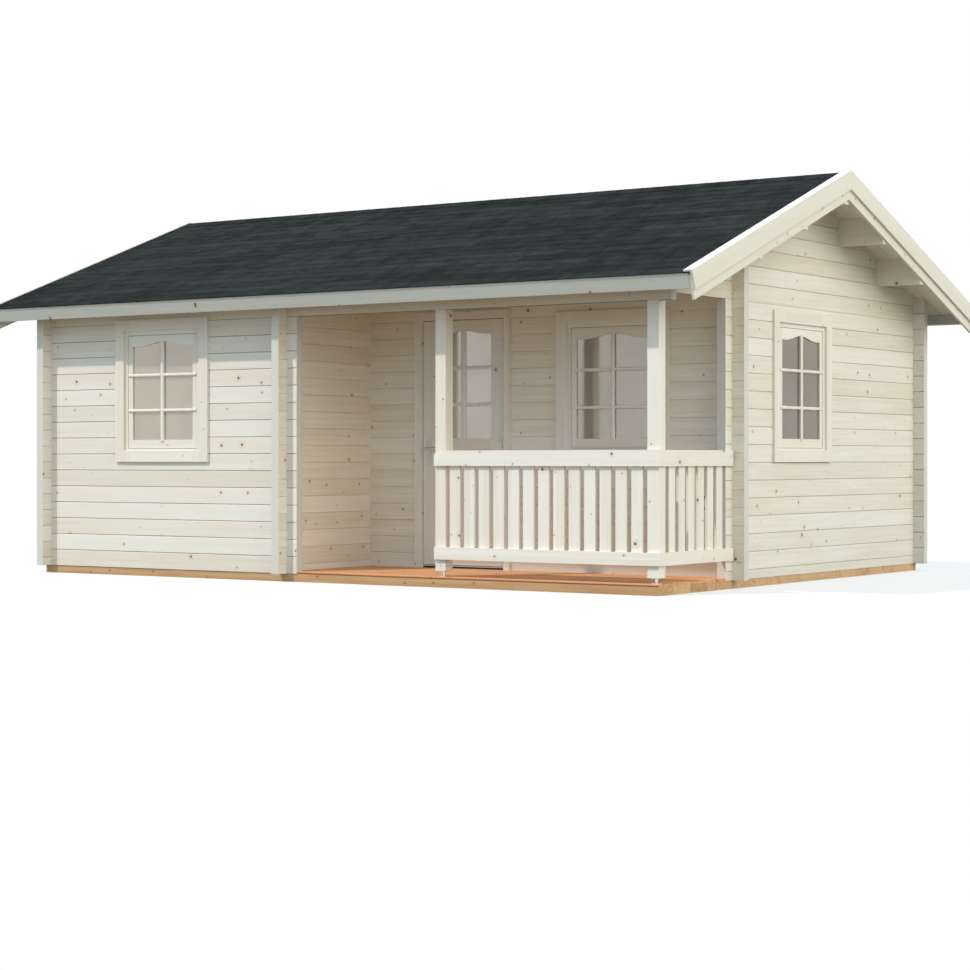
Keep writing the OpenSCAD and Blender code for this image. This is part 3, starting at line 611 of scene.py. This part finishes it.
# %% Courses on an underlay, on both slopes
sheet = np.array([(0.0, SEAT), (0.0, UNDERLAY), (slope_long, UNDERLAY), (slope_long, SEAT)])
for way, name in SLOPES:
    edges = [on_slope(np.full(4, x), sheet[:, 0], sheet[:, 1], way) for x in (felt_low.x, felt_high.x)]
    skin = np.array([(0, 3, 2, 1), (4, 5, 6, 7), (0, 1, 5, 4), (1, 2, 6, 5), (2, 3, 7, 6), (3, 0, 4, 7)])
    if way < 0:
        skin = skin[:, ::-1]
    tab_points, tab_faces, tab_tone = tabs(way)
    made = piece("shingle_courses_" + name, [(np.concatenate(edges), [skin]), (tab_points, [tab_faces])], felt,
                 replaces=["shingles_" + name])
    store_tone(made, np.concatenate([np.zeros(len(skin)), tab_tone]))

# %% [markdown]
# ## Verge caps and ridge caps
# A pale board lies on the shingles along each verge and hides their cut ends. It is cut plumb where it meets
# its twin at the ridge, so the ring of points at its head is slid along the slope until it stands over the
# ridge line. Between these boards, folded pieces of felt cover the ridge.

# %% Verge caps, cut plumb at the ridge
VERGE_WIDE, VERGE_THICK = 0.070, 0.012
verge_wood = board_finish("pale_cap_boards", down_slope, WHITE, 0.3)
verge_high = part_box("verge_caps_rear")[1]
verge_bed = TOP + AIR
verge_foot = (verge_high.y - (verge_bed + VERGE_THICK) * SIN) / COS
verge_middle = verge_high.x - VERGE_WIDE / 2
for way, name in SLOPES:
    parts = []
    foot = on_slope(0.0, verge_foot, 0.0, way)
    for middle in (-verge_middle, verge_middle):
        strip = board_outline(VERGE_WIDE, VERGE_THICK, 0.0015) + (middle, verge_bed)
        points, faces = carry(strip, (0, 0, RIDGE), foot, (1, 0, 0), (0, way * SIN, COS))
        points[:len(strip)] -= np.outer(strip[:, 1] * TAN, (0, way * COS, -SIN))
        parts.append((points, faces))
    piece("verge_caps_of_" + name, parts, verge_wood, replaces=["verge_caps_" + name])

# %% Ridge caps, each lapped over the one before
CAP_LONG, CAP_SHOWS, CAP_THICK, CAP_LIFT = 0.20, 0.145, 0.0017, 0.0018
ridge_half = verge_high.x - VERGE_WIDE - 0.0005
count = int(2 * ridge_half / CAP_SHOWS)
cap_x = -ridge_half + np.arange(count) * (2 * ridge_half - CAP_LONG) / (count - 1)
cap_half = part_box("ridge_shingles")[1].y
cap_drop = cap_half * TAN
fold = np.array([(0, 0), (-cap_half, -cap_drop), (-cap_half, CAP_THICK - cap_drop), (0, CAP_THICK),
                 (cap_half, CAP_THICK - cap_drop), (cap_half, -cap_drop)])
apex = RIDGE + (UNDERLAY + 0.0012) / COS
cap_start = np.stack([cap_x, np.zeros(count), np.full(count, apex)], 1)
cap_end = cap_start + (CAP_LONG, 0, CAP_LIFT)
ridge_caps = piece("ridge_caps", [carry(fold, cap_start, cap_end, (0, 1, 0), (0, 0, 1))], felt,
                   replaces=["ridge_shingles"])
per_cap = random.uniform(0.1, 0.8, count)
store_tone(ridge_caps, np.concatenate([np.repeat(per_cap, len(fold)), np.repeat(per_cap, 2)]))

# %% [markdown]
# ## Glazing bars
# Each window looks like six panes, but it is one sheet of glass with slim bars over it. On a window their ends
# lap over the sash, with a tongue behind that reaches the glass; on the door they lie on the glass itself. The
# bars are rounded at the front, so their outline is half an ellipse on a flat back, carried along each bar; the
# level bars stop against the upright one.

# %% Bars over one opening
END_LAP, SIDE_LAP = 0.010, 0.040


def bar_outline(width, thick):
    """Half an ellipse on a flat back: u = width/2 * cos a, v = thick * sin a to the power 0.7."""
    a = np.linspace(0, math.pi, 9)
    return np.stack([width / 2 * np.cos(a), thick * np.sin(a).clip(0) ** 0.7], 1)


def glazing_bars(origin, along, out, low, high, half, levels, upright_wide, level_wide, thick, tongue=0.0):
    """Bars over an opening from low to high, and as far as half to each side of origin: one upright, and level
    ones at each of the levels. With a tongue, the ends lap over the sash and the tongue behind each bar reaches
    back to the glass."""
    end_lap, side_lap = (END_LAP, SIDE_LAP) if tongue else (0.0, 0.0)
    origin, along, out = np.array(origin, float), np.array(along, float), np.array(out, float)
    up = np.array([0.0, 0.0, 1.0])
    foot, head = origin + up * (low - end_lap), origin + up * (high + end_lap)
    parts = [carry(bar_outline(upright_wide, thick), foot, head, along, out)]
    for z in levels:
        for way in (-1, 1):
            start = origin + up * z + along * way * upright_wide * 0.44
            end = origin + up * z + along * way * (half + side_lap)
            parts.append(carry(bar_outline(level_wide, thick * 0.9), start, end, up, out))
    if tongue:
        back, inner = origin - out * tongue, along * (half - 0.0005)
        foot, head = back + up * (low + 0.0005), back + up * (high - 0.0012)
        parts.append(carry(board_outline(upright_wide * 0.92, tongue + 0.002, 0.001), foot, head, along, out))
        level_tongue = board_outline(level_wide * 0.92, tongue + 0.002, 0.001)
        for z in levels:
            parts.append(carry(level_tongue, back + up * z - inner, back + up * z + inner, up, out))
    return parts


# %% Bars of the windows and the door
SASH_SET, GLASS_SET = 0.004, 0.0138
PANE_LOW, PANE_HIGH = FOOT + 1.045, FOOT + 1.843
PANE_LEVELS = (FOOT + 1.284, FOOT + 1.571)
LIGHT_LOW, LIGHT_HIGH, LIGHT_HALF = LEAF_LOW.z + 1.0065, LEAF_LOW.z + 1.8598, 0.2695
LIGHT_LEVELS = (FOOT + 1.322, FOOT + 1.613)
bar_wood = board_finish("glazing_bar_pine", upwards, knots=0.2, lanes=12.0)
places = {"front": ((FRONT_WINDOW, FRONT_FACE + SASH_SET, 0), (1, 0, 0), (0, -1, 0)),
          "porch": ((PORCH_WINDOW, DOOR_WALL + SASH_SET, 0), (1, 0, 0), (0, -1, 0)),
          "gable": ((GABLE - SASH_SET, GABLE_WINDOW, 0), (0, 1, 0), (1, 0, 0))}
for name, (origin, along, out) in places.items():
    bars = glazing_bars(origin, along, out, PANE_LOW, PANE_HIGH, GLASS_HALF, PANE_LEVELS, upright_wide=0.033,
                        level_wide=0.025, thick=0.011, tongue=GLASS_SET - SASH_SET)
    piece("glazing_bars_" + name, bars, bar_wood)
bars = glazing_bars((LEAF_MIDDLE, LEAF_LOW.y + GLASS_SET, 0), (1, 0, 0), (0, -1, 0), LIGHT_LOW, LIGHT_HIGH,
                    LIGHT_HALF, LIGHT_LEVELS, upright_wide=0.05, level_wide=0.027, thick=0.012)
piece("glazing_bars_door", bars, bar_wood, body="door")

# %% [markdown]
# ## Glass
# Seen from outside on a bright day a window is about half a mirror: the panes show the sky and the porch posts,
# with the room dimly behind, under a pale veil of dust that the daylight catches. So the shader is about half
# metal, half matt, and lets some light through, which goes out with the exported model as plain transparency.
# Each window has its own tint: a painted reflection of the part of its surroundings that it mirrors, and
# painted light for how much daylight reaches it.

# %% Window glass
PORCH_FROM = 1.2
FRONT_PANE_REFLECTION, DOOR_PANE_REFLECTION = rgb(0.715, 0.645, 0.545), rgb(0.78, 0.725, 0.67)
PORCH_PANE_REFLECTION, GABLE_PANE_REFLECTION, HAZE = rgb(0.640, 0.598, 0.535), rgb(0.365, 0.320, 0.268), rgb(0.46, 0.45, 0.43)
glass, glass_shader, (gx, gy, gz) = finish("window_glass", Metallic=0.55, Roughness=0.06, Alpha=0.62)
# Painted reflection and light: the pane's tint is picked by where the window stands.
painted_reflection = (gx > 0.0).tint(FRONT_PANE_REFLECTION, DOOR_PANE_REFLECTION)
painted_reflection = (gx > PORCH_FROM).tint(painted_reflection, PORCH_PANE_REFLECTION)
painted_reflection = (gx > GABLE_FROM).tint(painted_reflection, GABLE_PANE_REFLECTION)
haze = gx.noise(gx * 3.0, gy * 3.0, gz * 2.2, 3.0).step(0.35, 0.7)
feed(glass_shader, Base_Color=(haze * 0.25).tint(painted_reflection, HAZE))
wear(glass, "window_glass", "door_glass")

# %% [markdown]
# ## Ironwork
# Post feet and the lever handle are zinc-plated steel: a soft grey shine with fine brushed lines. The hinges
# are duller and warmer. A dark strip closes the foot of the doorway above the deck.

# %% Zinc-plated and dull steel
zinc, zinc_shader, (sx, sy, sz) = finish("zinc_steel", Metallic=1.0, Roughness=0.35)
brushed = sx.noise(sx * 900.0, sy * 900.0, sz * 40.0, 3.0)
spangle = sx.noise(sx * 60.0, sy * 60.0, sz * 60.0, 2.0).step(0.3, 0.7)
feed(zinc_shader, Base_Color=spangle.tint(rgb(0.52, 0.53, 0.54), rgb(0.68, 0.69, 0.70)),
     Roughness=brushed * 0.25 + 0.25, height=(brushed, 0.0001))
wear(zinc, "post_feet", "door_handle")
dull, dull_shader, (hx, hy, hz) = finish("dull_hinge_steel", Metallic=1.0, Roughness=0.6)
bloom = hx.noise(hx * 80.0, hy * 80.0, hz * 80.0, 3.0)
dull_colour = bloom.step(0.3, 0.7).tint(rgb(0.46, 0.425, 0.375), rgb(0.56, 0.52, 0.465))
feed(dull_shader, Base_Color=dull_colour, Roughness=bloom * 0.2 + 0.5)
wear(dull, "hinge_pins", "door_hinges")

# %% The dark strip under the door
dark, dark_shader, (tx, ty, tz) = finish("dark_strip", Roughness=0.5)
# A near-black strip with a little mottling from noise.
strip_mottle = tx.noise(tx * 30.0, ty * 200.0, tz * 200.0, 3.0)
dark_colour = strip_mottle.tint(rgb(0.004, 0.003, 0.003), rgb(0.014, 0.011, 0.010))
feed(dark_shader, Base_Color=dark_colour, Roughness=strip_mottle * 0.3 + 0.4)
strip_outline = np.array([(-0.002, 0.0), (0.0, 0.0), (0.0, 0.015), (-0.0012, 0.015), (-0.002, 0.013)])
strip_ends = [(x, DOOR_WALL, deck_high.z) for x in (LEAF_LOW.x, LEAF_HIGH.x)]
piece("threshold_strip", [carry(strip_outline, *strip_ends, (0, 1, 0), (0, 0, 1))], dark)

# %% [markdown]
# ## Studio
# The cabin stands on a plain pale floor under a white sky. A sun from the front left, about 52 degrees high,
# gives the crisp shadow under the eave, a broad soft light from the right fills the gable, and a bluish sky
# fills the rest. The white background is only what the camera, mirrors and glass see: the light on the cabin
# comes from a dimmer sky and a darker floor.

# %% Sky
LIT_BY, SEEN = rgb(0.685, 0.92, 1.06), rgb(1, 1, 1)


def plain_view(tree):
    """1 for a ray from the camera, off a mirror or through glass; 0 for one that gathers light."""
    from_camera = Wire(tree).make("ShaderNodeLightPath", out="Is Camera Ray")
    paths = from_camera.socket.node.outputs
    seen = from_camera.math("MAXIMUM", from_camera, Wire(tree, paths["Is Glossy Ray"]))
    return seen.math("MAXIMUM", seen, Wire(tree, paths["Is Transmission Ray"]))


world = bpy.data.worlds.new("studio_sky")
bpy.context.scene.world = world
world.use_nodes = True
sky = world.node_tree.nodes["Background"]
sky.inputs["Strength"].default_value = 1.0
world.node_tree.links.new(plain_view(world.node_tree).tint(LIT_BY, SEEN).socket, sky.inputs["Color"])
print("sky seen as", SEEN[:3], "and lighting as", LIT_BY[:3])


# %% Lamps
def lamp(name, towards, strength, colour, spread):
    """A sun lamp that shines along a direction: tipped from straight down by the angle between the two, then
    turned about Z to the direction's compass angle. Its width, spread, in degrees softens its shadows."""
    data = bpy.data.lights.new(name, "SUN")
    data.energy, data.color, data.angle = strength, colour, math.radians(spread)
    made = bpy.data.objects.new(name, data)
    x, y, z = towards
    made.rotation_euler = (math.atan2(math.hypot(x, y), -z), 0, math.atan2(x, -y) + math.pi)
    bpy.context.scene.collection.objects.link(made)
    print(name, "of strength", strength, "along", towards)


lamp("sun_front_left", (0.66, 1.0, -1.52), 2.60, (1.0, 0.912, 0.828), 1.5)
lamp("soft_fill_right", (-1.0, 0.05, -0.45), 1.88, (1.0, 0.868, 0.655), 60.0)

# %% Floor
FLOOR_REACH, FLOOR_DROP = 60.0, 0.001
floor_corners = [(x * FLOOR_REACH, y * FLOOR_REACH, -FLOOR_DROP)
                 for x, y in ((-1, -1), (1, -1), (1, 1), (-1, 1))]
floor_mesh = bpy.data.meshes.new("studio_floor")
floor_mesh.from_pydata(floor_corners, [], [(0, 1, 2, 3)])
studio_floor = bpy.data.objects.new("studio_floor", floor_mesh)
bpy.context.scene.collection.objects.link(studio_floor)
pale, pale_shader, (px, py, pz) = finish("pale_floor", Roughness=0.9)
look = plain_view(pale.node_tree)
feed(pale_shader, Base_Color=look.tint(rgb(0.195, 0.160, 0.110), rgb(0.80, 0.80, 0.80)))
far_off = (px * px + py * py).of("SQRT").step(4.0, 9.0)
matt = Wire(pale.node_tree, pale_shader.outputs[0])
white = look.make("ShaderNodeEmission", None, {"Color": SEEN})
blend = look.make("ShaderNodeMixShader", None, {"Fac": look * (far_off * 0.42 + 0.58), 1: matt, 2: white})
pale.node_tree.links.new(blend.socket, pale.node_tree.nodes["Material Output"].inputs["Surface"])
floor_mesh.materials.append(pale)
bpy.context.scene.view_settings.view_transform = "Standard"
print("floor reaches", FLOOR_REACH, "m")
